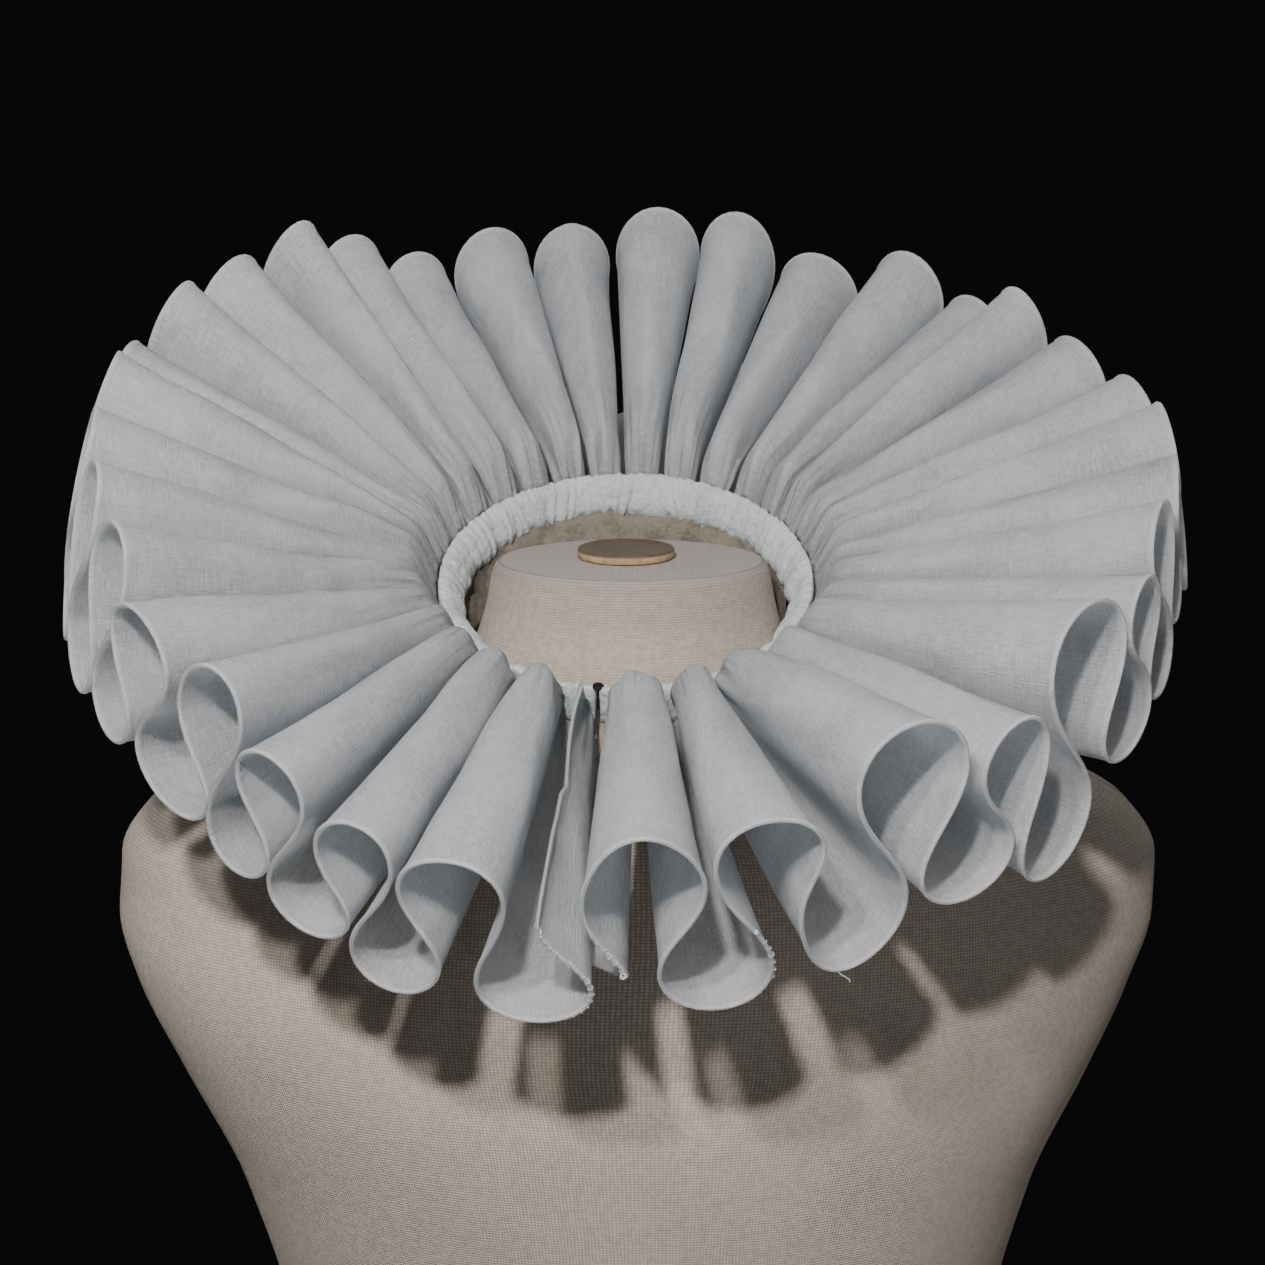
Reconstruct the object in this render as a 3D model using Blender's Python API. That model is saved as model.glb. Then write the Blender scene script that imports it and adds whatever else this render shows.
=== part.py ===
"""A pleated linen ruff collar, set in figure-of-eight flutes, on a limbless dress form.

Metres, +Z up, -Y is the front, the origin is the centre of the form's flat base.
Azimuths go round the collar anticlockwise from +X as seen from above, so the front is -90 degrees.
"""

import math
from collections import namedtuple

import bpy
import numpy as np
from mathutils import Matrix, Vector

# ---- the dress form -----------------------------------------------------------------------------
FORM_HEIGHT = 0.620
FORM_SIDES = 40
DISC_RADIUS = 0.0195
DISC_SIDES = 32
DISC_THICKNESS = 0.004
DISC_EDGE = 0.0008
DISC_CENTRE = (-0.002, 0.004)
JOINT_GAP = 0.0003  # kept between any two pieces that meet

# ---- the collar's own frame: a ring round the neck, tipped down at the front -----------------------
RING_CENTRE = Vector((-0.002, 0.0, 0.6065))
RING_TILT_DEG = 24.0

# ---- the neckband ---------------------------------------------------------------------------------
BAND_RADIUS = 0.0750  # outer face, where the flutes are sewn on
BAND_STEPS = 62

# ---- the pin that closes the band: a flat round head on the band's top edge, its shank in the gap -----
PIN_SEAT_RADIUS = 0.0728
PIN_SEAT_HEIGHT = 0.0083
PIN_SHANK_RADIUS = 0.0004
PIN_SIDES = 16

# ---- the linen strip ------------------------------------------------------------------------------
WALL = 0.0010
FLUTE_LENGTH = 0.146  # from the band to the hem
NECK_DEPTH = 0.015  # from the top to the bottom of the gathered edge
PUFF = 0.033  # how much deeper the flutes swell just outside the band than their straight lines
GATHER_RADIUS = BAND_RADIUS + JOINT_GAP + WALL / 2
FIRST_FLUTE_START = 0.14  # where the first wave is cut off at the opening, in waves
LAST_FLUTE_END = 0.33  # how far the strip runs past its last lower loop
SEAM_FLUTE = 17.5  # the strip's two lengths are joined along the crest of this flute
STEPS_PER_FLUTE = 15
LENGTH_ROWS = (0.0, 0.08, 0.2, 0.4, 0.6, 0.8, 1.0)  # from the band to the hem

# How strongly the strip's section doubles back, in radians of its steepest lean: at the band, at
# mid length, where neighbouring flutes all but touch, and at the hem.
LEAN_AT_BAND = 2.03
LEAN_AT_MIDDLE = 2.06
LEAN_AT_HEM = 2.075

# One row for each flute, from the opening round by +X, the back and -X, in degrees. "toward" is the
# azimuth of its tip and "rise" how far its crest line climbs out of the ring's plane. "low_toward"
# and "low_rise" are those of the lower loop that comes just before it, and "neck" is the azimuth at
# which the crest starts from the band. The flutes stand wider apart at the neck's front and back.
Flute = namedtuple("Flute", "low_toward low_rise toward rise neck")
FLUTES = (
    Flute(-97, 2, -88.5, 19, -87),
    Flute(-82, 3, -78, 20, -72),
    Flute(-71, 6, -64, 28, -60),
    Flute(-59, 10.5, -53, 23, -44),
    Flute(-49.5, 7, -41.5, 31, -31),
    Flute(-35.5, 15, -31, 27, -22),
    Flute(-27, 17, -22, 31, -13),
    Flute(-16, 20, -10, 28, -4),
    Flute(-4, 13, 2, 27, 5),
    Flute(8, 5, 14, 21, 13),
    Flute(21, 2, 27, 18, 21),
    Flute(32, -1, 37, 22, 30),
    Flute(40.5, -6, 44.5, 15, 39),
    Flute(49.5, -9, 53.5, 20, 49),
    Flute(60, -12, 66, 14, 61),
    Flute(71, -13, 76, 21, 73),
    Flute(81, -14, 86, 21, 85),
    Flute(92, -14, 97, 17, 97),
    Flute(102, -13, 107, 18, 108),
    Flute(112, -11, 117, 15, 120),
    Flute(121, -8, 126, 24, 132),
    Flute(131, -5, 135, 33, 143.5),
    Flute(140, 0, 145, 31, 154),
    Flute(151, 2, 156, 34, 162),
    Flute(161, 5, 166, 29, 169),
    Flute(171, 7, 176, 36, 175.5),
    Flute(182, 10, 187, 35, 182),
    Flute(193, 13, 198, 35, 189),
    Flute(203, 14, 209, 34, 196),
    Flute(213, 15, 218, 28, 203.5),
    Flute(225, 14, 230, 28, 211.5),
    Flute(234, 11, 238, 21, 221),
    Flute(242, 7, 247, 16, 233),
    Flute(250, 2, 256, 14, 248),
)
LAST_LOW = Flute(262, 1, 268.5, 0, 263)  # past it the strip rises once more and ends in a free edge
NECK_BEFORE = -118  # where the flutes before the first and after the last would start
NECK_AFTER = 278

# Where the strip doubles back less than elsewhere: at which wave, over how many waves either side,
# and by how many radians. Below 0 it doubles back more.
Slack = namedtuple("Slack", "wave reach less")
SLACKS = (
    Slack(0.05, 0.20, -0.04),
    Slack(0.45, 0.20, 0.25),
    Slack(1.90, 0.20, 0.30),
    Slack(3.75, 0.25, 0.12),
    Slack(33.75, 0.30, 0.14),
)

# The form's level sections from the base to the neck's top edge: height, half width, half depth,
# shifts to +X and towards the back, and how square the section is (2 is an ellipse). Metres.
Section = namedtuple("Section", "z width depth aside back power")
SECTIONS = (
    Section(0.000, 0.164, 0.1180, 0.000, 0.000, 2.1),
    Section(0.010, 0.170, 0.1230, 0.000, 0.000, 2.1),
    Section(0.065, 0.174, 0.1260, 0.000, 0.002, 2.1),
    Section(0.130, 0.164, 0.1170, 0.001, 0.003, 2.1),
    Section(0.215, 0.146, 0.1000, 0.003, 0.001, 2.1),
    Section(0.300, 0.150, 0.1050, 0.004, -0.004, 2.1),
    Section(0.370, 0.165, 0.1160, 0.003, -0.008, 2.1),
    Section(0.420, 0.188, 0.1190, 0.002, -0.007, 2.1),
    Section(0.455, 0.204, 0.1150, 0.001, -0.003, 2.2),
    Section(0.480, 0.212, 0.1070, 0.002, 0.001, 2.2),
    Section(0.501, 0.212, 0.0970, 0.003, 0.004, 2.2),
    Section(0.518, 0.202, 0.0860, 0.003, 0.006, 2.2),
    Section(0.533, 0.177, 0.0760, 0.003, 0.007, 2.1),
    Section(0.546, 0.143, 0.0680, 0.000, 0.007, 2.0),
    Section(0.558, 0.108, 0.0610, 0.000, 0.006, 2.0),
    Section(0.571, 0.081, 0.0570, 0.000, 0.004, 2.0),
    Section(0.586, 0.064, 0.0530, 0.000, 0.001, 2.0),
    Section(0.603, 0.058, 0.0470, 0.000, 0.000, 2.0),
    Section(0.617, 0.055, 0.0460, 0.000, 0.000, 2.0),
    Section(0.620, 0.053, 0.0440, 0.000, 0.000, 2.0),
)


def make_material(name, color, roughness):
    material = bpy.data.materials.new(name)
    material.use_nodes = True
    shader = material.node_tree.nodes["Principled BSDF"]
    shader.inputs["Base Color"].default_value = (*color, 1.0)
    shader.inputs["Roughness"].default_value = roughness
    shader.inputs["Metallic"].default_value = 0.0
    return material


def add_mesh(name, points, faces, material):
    mesh = bpy.data.meshes.new(name)
    mesh.from_pydata([tuple(map(float, p)) for p in points], [], faces)
    mesh.validate()
    mesh.materials.append(material)
    mesh.shade_smooth()
    thing = bpy.data.objects.new(name, mesh)
    bpy.context.scene.collection.objects.link(thing)
    return thing


def through(knots, values, at):
    """A smooth curve through the knots, which never overshoots them."""
    gaps = np.diff(knots)
    slopes = np.diff(values) / gaps
    before, after = slopes[:-1], slopes[1:]
    agree = before * after > 0
    inner = np.where(agree, 2 * before * after / np.where(agree, before + after, 1), 0.0)
    tangents = np.concatenate([[slopes[0]], inner, [slopes[-1]]])
    k = np.clip(np.searchsorted(knots, at) - 1, 0, len(gaps) - 1)
    t = (at - knots[k]) / gaps[k]
    rise = values[k + 1] - values[k]
    start, end = tangents[k] * gaps[k], tangents[k + 1] * gaps[k]
    return values[k] + t * start + t**2 * (3 * rise - 2 * start - end) + t**3 * (start + end - 2 * rise)


def section_shape(lean):
    """One wave of a strip that bends evenly: its sideways swing, in pitches, and its height from 0
    at the lower loop to 1 at the crest, both against the wave's own length from 0 to 1."""
    fine = np.linspace(0, 2 * math.pi, 721)
    heading = lean * np.sin(fine)
    step = fine[1]

    def summed(rate):
        return np.concatenate([[0], np.cumsum((rate[1:] + rate[:-1]) / 2 * step)])

    along, up = summed(np.cos(heading)), summed(np.sin(heading))
    wave = fine / (2 * math.pi)
    return wave, along / along[-1] - wave, up / up.max()


def lean_at(v):
    """The section's lean at v, 0 at the band and 1 at the hem."""
    return through(np.array([0.0, 0.45, 1.0]), np.array([LEAN_AT_BAND, LEAN_AT_MIDDLE, LEAN_AT_HEM]), v)


def hem_tables():
    """Knots, in waves along the strip, and what the hem does at them."""
    waves, toward = [], []
    for k, flute in enumerate(FLUTES):
        waves += [k, k + 0.5]
        toward += [flute.low_toward, flute.toward]
    waves += [len(FLUTES), len(FLUTES) + 0.5]
    toward += [LAST_LOW.low_toward, LAST_LOW.toward]
    crest = np.array([f.rise for f in FLUTES])
    low = np.array([f.low_rise for f in FLUTES] + [LAST_LOW.low_rise])
    crest_height = FLUTE_LENGTH * np.sin(np.radians(crest))
    low_height = FLUTE_LENGTH * np.sin(np.radians(low))
    return np.array(waves), np.radians(toward), crest_height, low_height


HEM_WAVES, HEM_TOWARD, CREST_HEIGHT, LOW_HEIGHT = hem_tables()
STRIP_END = len(FLUTES) + LAST_FLUTE_END


def neck_tables():
    """Knots, in waves along the strip, and where the crests start round the band."""
    waves = np.arange(len(FLUTES) + 3) - 0.5
    toward = [NECK_BEFORE, *(f.neck for f in FLUTES), LAST_LOW.neck, NECK_AFTER]
    return waves, np.radians(toward)


NECK_WAVES, NECK_TOWARD = neck_tables()


def azimuth(wave, v):
    """Where the middle of the strip's section stands round the ring. Each flute runs straight."""
    at_band = through(NECK_WAVES, NECK_TOWARD, wave)
    inside = np.clip(wave, HEM_WAVES[0], HEM_WAVES[-1])
    pitch = 2 * math.pi / len(FLUTES)
    at_hem = through(HEM_WAVES, HEM_TOWARD, inside) + (wave - inside) * pitch
    straight = v * (GATHER_RADIUS + FLUTE_LENGTH) / (GATHER_RADIUS + v * FLUTE_LENGTH)
    return at_band + (at_hem - at_band) * straight


def swell(v):
    """How much of the puff there is at v: none where the strip is sewn on, all of it just outside the
    band, and little at the hem."""
    return through(np.array([0.0, 0.08, 0.3, 1.0]), np.array([0.0, 1.0, 0.87, 0.41]), v)


SHAPE_LEANS = np.linspace(1.5, 2.3, 17)
SHAPES = [section_shape(lean) for lean in SHAPE_LEANS]
SWINGS = np.array([swing for _, swing, _ in SHAPES])
HEIGHTS = np.array([height for _, _, height in SHAPES])


def shape_at(wave, v):
    """The strip's swing and height at each wave, between those of the leans above and below its own."""
    lean = np.full_like(wave, float(lean_at(v)))
    for slack in SLACKS:
        lean -= slack.less * np.exp(-(((wave - slack.wave) / slack.reach) ** 2))
    row = (lean - SHAPE_LEANS[0]) / (SHAPE_LEANS[1] - SHAPE_LEANS[0])
    column = (wave - np.floor(wave)) * (SWINGS.shape[1] - 1)
    r, c = np.floor(row).astype(int), np.floor(column).astype(int)
    up, on = row - r, column - c

    def between(table):
        below = table[r, c] * (1 - on) + table[r, c + 1] * on
        above = table[r + 1, c] * (1 - on) + table[r + 1, c + 1] * on
        return below * (1 - up) + above * up

    return between(SWINGS), between(HEIGHTS)


def strip_point(wave, v):
    """A point of the strip's middle surface in the ring's frame: wave counts flutes along the strip,
    v runs from 0 at the band to 1 at the hem."""
    swing, height = shape_at(wave, v)
    pitch = azimuth(wave + 0.5, v) - azimuth(wave - 0.5, v)
    angle = azimuth(wave, v) + swing * pitch
    crest = through(np.arange(len(CREST_HEIGHT)) + 0.5, CREST_HEIGHT, wave)
    low = through(np.arange(len(LOW_HEIGHT)), LOW_HEIGHT, wave)
    at_band = (NECK_DEPTH + PUFF * float(swell(v))) * (height - 0.5)
    climb = (low + (crest - low) * height) * v
    reach = np.sqrt((v * FLUTE_LENGTH) ** 2 - climb**2)
    radius = GATHER_RADIUS + reach
    return np.stack([radius * np.cos(angle), radius * np.sin(angle), at_band + climb], axis=-1)


def ring_frame():
    return Matrix.Translation(RING_CENTRE) @ Matrix.Rotation(math.radians(RING_TILT_DEG), 4, "X")


def length_at_seam(v):
    """The strip's own length for one wave's worth of steps beside the joining seam, at v."""
    reach = 0.02
    points = strip_point(np.array([SEAM_FLUTE - reach, SEAM_FLUTE + reach]), v)
    return np.linalg.norm(points[1] - points[0]) / (2 * reach)


def build_strip(name, first, last, material):
    """A length of the strip as a grid of its middle surface, thickened to the wall. It stops short of
    the joining seam by as much all the way out, so that the two lengths stay clear."""
    short = JOINT_GAP / 2 + WALL / 3  # the end faces lean over the seam by up to a third of the wall
    columns = round((last - first) * STEPS_PER_FLUTE)
    rows = []
    for v in LENGTH_ROWS:
        cut = short / length_at_seam(v)
        start = first + cut if first == SEAM_FLUTE else first
        end = last - cut if last == SEAM_FLUTE else last
        rows.append(strip_point(np.linspace(start, end, columns + 1), v))
    points = np.concatenate(rows)
    across = columns + 1
    faces = [
        (r * across + c, r * across + c + 1, (r + 1) * across + c + 1, (r + 1) * across + c)
        for r in range(len(LENGTH_ROWS) - 1)
        for c in range(columns)
    ]
    strip = add_mesh(name, points, faces, material)
    strip.matrix_world = ring_frame()
    wall = strip.modifiers.new("wall", "SOLIDIFY")
    wall.thickness = WALL
    wall.offset = 0
    wall.use_even_offset = False
    return strip


def loft(name, rings, turned, material):
    """A closed solid through rings of points, with a flat cap on its first and last. The rings run
    anticlockwise seen from the last one back to the first, or clockwise where turned is set."""
    sides = len(rings[0])
    faces = [
        (r * sides + s, r * sides + (s + 1) % sides, (r + 1) * sides + (s + 1) % sides, (r + 1) * sides + s)
        for r in range(len(rings) - 1)
        for s in range(sides)
    ]
    last = (len(rings) - 1) * sides
    faces += [tuple(reversed(range(sides))), tuple(range(last, last + sides))]
    if turned:
        faces = [tuple(reversed(face)) for face in faces]
    return add_mesh(name, [p for ring in rings for p in ring], faces, material)


def build_band(material):
    """The padded neckband: an upright outer face and a full inner face that slopes to the neck."""
    profile = (  # radius and height in the ring's frame, round the section
        (BAND_RADIUS, -0.0080),
        (BAND_RADIUS, 0.0068),
        (0.0730, 0.0080),
        (0.0700, 0.0068),
        (0.0672, 0.0030),
        (0.0652, -0.0015),
        (0.0652, -0.0045),
        (0.0680, -0.0080),
    )
    start, end = azimuth(FIRST_FLUTE_START, 0.0), azimuth(STRIP_END, 0.0)
    rings = []
    for angle in np.linspace(start, end, BAND_STEPS + 1):
        rings.append([(r * math.cos(angle), r * math.sin(angle), z) for r, z in profile])
    band = loft("neckband", rings, True, material)
    band.matrix_world = ring_frame()
    return band


def build_form(material):
    rings = []
    for section in SECTIONS:
        ring = []
        for side in range(FORM_SIDES):
            angle = 2 * math.pi * side / FORM_SIDES
            c, s = math.cos(angle), math.sin(angle)
            x = section.width * math.copysign(abs(c) ** (2 / section.power), c)
            y = section.depth * math.copysign(abs(s) ** (2 / section.power), s)
            ring.append((x + section.aside, y + section.back, section.z))
        rings.append(ring)
    return loft("dress_form", rings, False, material)


def build_disc(material):
    bottom = FORM_HEIGHT + JOINT_GAP
    levels = (
        (DISC_RADIUS, bottom),
        (DISC_RADIUS, bottom + DISC_THICKNESS - DISC_EDGE),
        (DISC_RADIUS - DISC_EDGE, bottom + DISC_THICKNESS),
    )
    rings = [
        [
            (
                DISC_CENTRE[0] + radius * math.cos(2 * math.pi * side / DISC_SIDES),
                DISC_CENTRE[1] + radius * math.sin(2 * math.pi * side / DISC_SIDES),
                z,
            )
            for side in range(DISC_SIDES)
        ]
        for radius, z in levels
    ]
    return loft("neck_disc", rings, False, material)


def build_pin(material):
    levels = (  # radius and height from the band's top edge, tip to head
        (0.0001, -0.0110),
        (PIN_SHANK_RADIUS, -0.0090),
        (PIN_SHANK_RADIUS, 0.0000),
        (0.0019, 0.0000),
        (0.0023, 0.0004),
        (0.0022, 0.0009),
        (0.0014, 0.0013),
    )
    opening = (azimuth(FIRST_FLUTE_START, 0.0) + azimuth(STRIP_END, 0.0)) / 2 - math.pi
    centre = Vector((math.cos(opening), math.sin(opening), 0)) * PIN_SEAT_RADIUS
    centre.z = PIN_SEAT_HEIGHT
    rings = [
        [
            centre
            + Vector(
                (
                    radius * math.cos(2 * math.pi * side / PIN_SIDES),
                    radius * math.sin(2 * math.pi * side / PIN_SIDES),
                    height,
                )
            )
            for side in range(PIN_SIDES)
        ]
        for radius, height in levels
    ]
    pin = loft("pin", rings, False, material)
    pin.matrix_world = ring_frame()
    return pin


def main():
    for thing in list(bpy.data.objects):
        bpy.data.objects.remove(thing)
    linen = make_material("linen", (0.60, 0.64, 0.65), 0.85)
    band_linen = make_material("band_linen", (0.62, 0.67, 0.67), 0.85)
    cover = make_material("form_cover", (0.52, 0.45, 0.37), 0.9)
    wood = make_material("wood", (0.30, 0.21, 0.12), 0.6)
    build_strip("ruff_right", FIRST_FLUTE_START, SEAM_FLUTE, linen)
    build_strip("ruff_left", SEAM_FLUTE, STRIP_END, linen)
    build_band(band_linen)
    build_form(cover)
    build_disc(wood)
    build_pin(make_material("black_pin", (0.02, 0.02, 0.02), 0.35))


main()
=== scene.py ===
"""The looks of a pleated linen ruff collar on a dress form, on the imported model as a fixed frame.

Metres, +Z up, -Y is the front. The cloth repeats the named sizes of the part's source on a finer
grid, and adds the gathers, creases, hems, weave and stitches.
"""
import math
from collections import namedtuple

import bpy
import numpy as np
from mathutils import Matrix, Vector


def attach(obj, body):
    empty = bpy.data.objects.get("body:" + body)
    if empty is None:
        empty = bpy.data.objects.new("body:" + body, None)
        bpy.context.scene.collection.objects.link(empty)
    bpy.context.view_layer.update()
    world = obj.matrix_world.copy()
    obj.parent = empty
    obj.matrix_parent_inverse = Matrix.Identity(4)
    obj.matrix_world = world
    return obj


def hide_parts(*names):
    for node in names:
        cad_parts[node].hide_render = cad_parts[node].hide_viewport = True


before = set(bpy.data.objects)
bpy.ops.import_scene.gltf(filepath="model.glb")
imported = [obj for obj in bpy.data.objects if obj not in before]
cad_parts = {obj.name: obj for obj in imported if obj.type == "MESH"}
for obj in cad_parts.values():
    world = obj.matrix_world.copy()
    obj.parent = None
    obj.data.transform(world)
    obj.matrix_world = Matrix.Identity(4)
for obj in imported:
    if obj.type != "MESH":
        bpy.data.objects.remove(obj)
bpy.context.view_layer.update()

MM = 0.001

# ---- camera: the photograph's view ------------------------------------------------------------
CAMERA_PLACE = (0.0006, -0.8348, 0.7826)
CAMERA_ELEVATION_DEG = 13.0
CAMERA_LENS = 60.47
SENSOR = 36.0

# ---- the collar's named sizes, as in the part's source ------------------------------------------
RING_CENTRE = Vector((-0.002, 0.0, 0.6065))
RING_TILT_DEG = 24.0
BAND_RADIUS = 0.0750
CAD_WALL = 0.0010
JOINT_GAP = 0.0003
FLUTE_LENGTH = 0.146
NECK_DEPTH = 0.015
PUFF = 0.033
GATHER_RADIUS = BAND_RADIUS + JOINT_GAP + CAD_WALL / 2
FIRST_FLUTE_START = 0.14
LAST_FLUTE_END = 0.33
SEAM_FLUTE = 17.5
LEAN_AT_BAND = 2.03
LEAN_AT_ROOT = 1.95  # where the fine gathers draw each root in
LEAN_AT_MIDDLE = 2.06
LEAN_AT_HEM = 2.075

Flute = namedtuple("Flute", "low_toward low_rise toward rise neck")
FLUTES = (
    Flute(-97, 2, -88.5, 19, -87),
    Flute(-82, 3, -78, 20, -72),
    Flute(-71, 6, -64, 28, -60),
    Flute(-59, 10.5, -53, 23, -44),
    Flute(-49.5, 7, -41.5, 31, -31),
    Flute(-35.5, 15, -31, 27, -22),
    Flute(-27, 17, -22, 31, -13),
    Flute(-16, 20, -10, 28, -4),
    Flute(-4, 13, 2, 27, 5),
    Flute(8, 5, 14, 21, 13),
    Flute(21, 2, 27, 18, 21),
    Flute(32, -1, 37, 22, 30),
    Flute(40.5, -6, 44.5, 15, 39),
    Flute(49.5, -9, 53.5, 20, 49),
    Flute(60, -12, 66, 14, 61),
    Flute(71, -13, 76, 21, 73),
    Flute(81, -14, 86, 21, 85),
    Flute(92, -14, 97, 17, 97),
    Flute(102, -13, 107, 18, 108),
    Flute(112, -11, 117, 15, 120),
    Flute(121, -8, 126, 24, 132),
    Flute(131, -5, 135, 33, 143.5),
    Flute(140, 0, 145, 31, 154),
    Flute(151, 2, 156, 34, 162),
    Flute(161, 5, 166, 29, 169),
    Flute(171, 7, 176, 36, 175.5),
    Flute(182, 10, 187, 35, 182),
    Flute(193, 13, 198, 35, 189),
    Flute(203, 14, 209, 34, 196),
    Flute(213, 15, 218, 28, 203.5),
    Flute(225, 14, 230, 28, 211.5),
    Flute(234, 11, 238, 21, 221),
    Flute(242, 7, 247, 16, 233),
    Flute(250, 2, 256, 14, 248),
)
LAST_LOW = Flute(262, 1, 268.5, 0, 263)
NECK_BEFORE = -118
NECK_AFTER = 278

# Where the strip doubles back less than elsewhere: at which wave, over how many waves either side,
# and by how many radians. Below 0 it doubles back more.
Slack = namedtuple("Slack", "wave reach less")
SLACKS = (
    Slack(0.05, 0.20, -0.04),
    Slack(0.45, 0.20, 0.25),
    Slack(1.90, 0.20, 0.30),
    Slack(3.75, 0.25, 0.12),
    Slack(33.75, 0.30, 0.14),
)
STRIP_END = len(FLUTES) + LAST_FLUTE_END

# ---- the cloth's own finish ---------------------------------------------------------------------
CLOTH = 0.0005  # the linen's thickness as shown
LIGHT_THROUGH = 0.62  # share of the light that passes each face of the thin cloth
WAVE_CUT = 0.2130  # cloth in one wave of the strip, measured along the hem
COLUMNS_PER_WAVE = 60
SIDE_SHIFT = 0.4  # between the two faces of the cloth on their common pattern
LINEN_TINT = (0.804, 0.825, 0.856)
DULL_SHARE, PALE_SHARE, PALEST = 0.86, 1.20, 0.97  # of the tint, in the weave's hollows and on its threads
WARP_PITCH, WEFT_PITCH = 0.00094, 0.00098
HEM_START, HEM_FULL = 0.0026, 0.0019  # where the rolled hem's paler colour begins, from the edge: partly its doubled cloth, partly a painted highlight along the hem
SEAM_ALLOWANCE = 0.0036  # half the width of the felled seam between the strip's two lengths
SEAM_SOFT = 0.0004  # over which its paler colour begins
SEAM_THICKNESS = 0.0012
SEAM_SETBACK = 0.5 * (JOINT_GAP + 0.0002)  # of each length's edge under the seam
GATHER_PITCHES = 8  # gathers in one wave, at the band
GATHER_DEPTH = 0.0009

FORM_HEIGHT = 0.620
DISC_RADIUS = 0.0195
DISC_THICKNESS = 0.004
DISC_CENTRE = (-0.002, 0.004)
Section = namedtuple("Section", "z width depth aside back power")
SECTIONS = (
    Section(0.000, 0.164, 0.1180, 0.000, 0.000, 2.1),
    Section(0.010, 0.170, 0.1230, 0.000, 0.000, 2.1),
    Section(0.065, 0.174, 0.1260, 0.000, 0.002, 2.1),
    Section(0.130, 0.164, 0.1170, 0.001, 0.003, 2.1),
    Section(0.215, 0.146, 0.1000, 0.003, 0.001, 2.1),
    Section(0.300, 0.150, 0.1050, 0.004, -0.004, 2.1),
    Section(0.370, 0.165, 0.1160, 0.003, -0.008, 2.1),
    Section(0.420, 0.188, 0.1190, 0.002, -0.007, 2.1),
    Section(0.455, 0.204, 0.1150, 0.001, -0.003, 2.2),
    Section(0.480, 0.212, 0.1070, 0.002, 0.001, 2.2),
    Section(0.501, 0.212, 0.0970, 0.003, 0.004, 2.2),
    Section(0.518, 0.202, 0.0860, 0.003, 0.006, 2.2),
    Section(0.533, 0.177, 0.0760, 0.003, 0.007, 2.1),
    Section(0.546, 0.143, 0.0680, 0.000, 0.007, 2.0),
    Section(0.558, 0.108, 0.0610, 0.000, 0.006, 2.0),
    Section(0.571, 0.081, 0.0570, 0.000, 0.004, 2.0),
    Section(0.586, 0.064, 0.0530, 0.000, 0.001, 2.0),
    Section(0.603, 0.058, 0.0470, 0.000, 0.000, 2.0),
    Section(0.617, 0.055, 0.0460, 0.000, 0.000, 2.0),
    Section(0.620, 0.053, 0.0440, 0.000, 0.000, 2.0),
)
SECTION_TABLE = {key: np.array([getattr(s, key) for s in SECTIONS]) for key in Section._fields}


# ================================================================================================
# small helpers
# ================================================================================================
def through(knots, values, at):
    """A smooth curve through the knots, which never overshoots them."""
    gaps = np.diff(knots)
    slopes = np.diff(values) / gaps
    before, after = slopes[:-1], slopes[1:]
    agree = before * after > 0
    inner = np.where(agree, 2 * before * after / np.where(agree, before + after, 1), 0.0)
    tangents = np.concatenate([[slopes[0]], inner, [slopes[-1]]])
    k = np.clip(np.searchsorted(knots, at) - 1, 0, len(gaps) - 1)
    t = (at - knots[k]) / gaps[k]
    rise = values[k + 1] - values[k]
    start, end = tangents[k] * gaps[k], tangents[k + 1] * gaps[k]
    return values[k] + t * start + t**2 * (3 * rise - 2 * start - end) + t**3 * (start + end - 2 * rise)


def form_sizes(z):
    """The form's half width, half depth, places and power at a height."""
    keys = ("width", "depth", "aside", "back", "power")
    return [through(SECTION_TABLE["z"], SECTION_TABLE[key], z) for key in keys]


def smooth(low, high, x):
    t = np.clip((np.asarray(x, float) - low) / (high - low), 0, 1)
    return t * t * (3 - 2 * t)


def wander(x, seed):
    """Smooth, even noise along a line, one free value for each whole step, between -1 and 1."""
    x = np.asarray(x, float)
    knots = np.random.RandomState(seed).uniform(-1, 1, 4096)
    k = np.floor(x).astype(int)
    t = x - k
    t = t * t * (3 - 2 * t)
    return knots[k % 4096] * (1 - t) + knots[(k + 1) % 4096] * t


def add_mesh(name, points, faces, material, uv=None):
    mesh = bpy.data.meshes.new(name)
    mesh.from_pydata(np.asarray(points, float).tolist(), [], faces)
    mesh.materials.append(material)
    mesh.shade_smooth()
    if uv is not None:
        layer = mesh.uv_layers.new(name="cloth")
        corner = np.empty(len(mesh.loops), np.int32)
        mesh.loops.foreach_get("vertex_index", corner)
        layer.data.foreach_set("uv", np.asarray(uv, np.float32)[corner].ravel())
    thing = bpy.data.objects.new(name, mesh)
    bpy.context.scene.collection.objects.link(thing)
    return thing


def grid_faces(rows, columns, start=0, turned=False, closed=False):
    """Quads of a grid of rows x columns points that starts at point number start."""
    faces = []
    last = columns if closed else columns - 1
    for r in range(rows - 1):
        for c in range(last):
            d = (c + 1) % columns
            a, b = start + r * columns + c, start + r * columns + d
            e, f = start + (r + 1) * columns + d, start + (r + 1) * columns + c
            faces.append((a, f, e, b) if turned else (a, b, e, f))
    return faces


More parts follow.
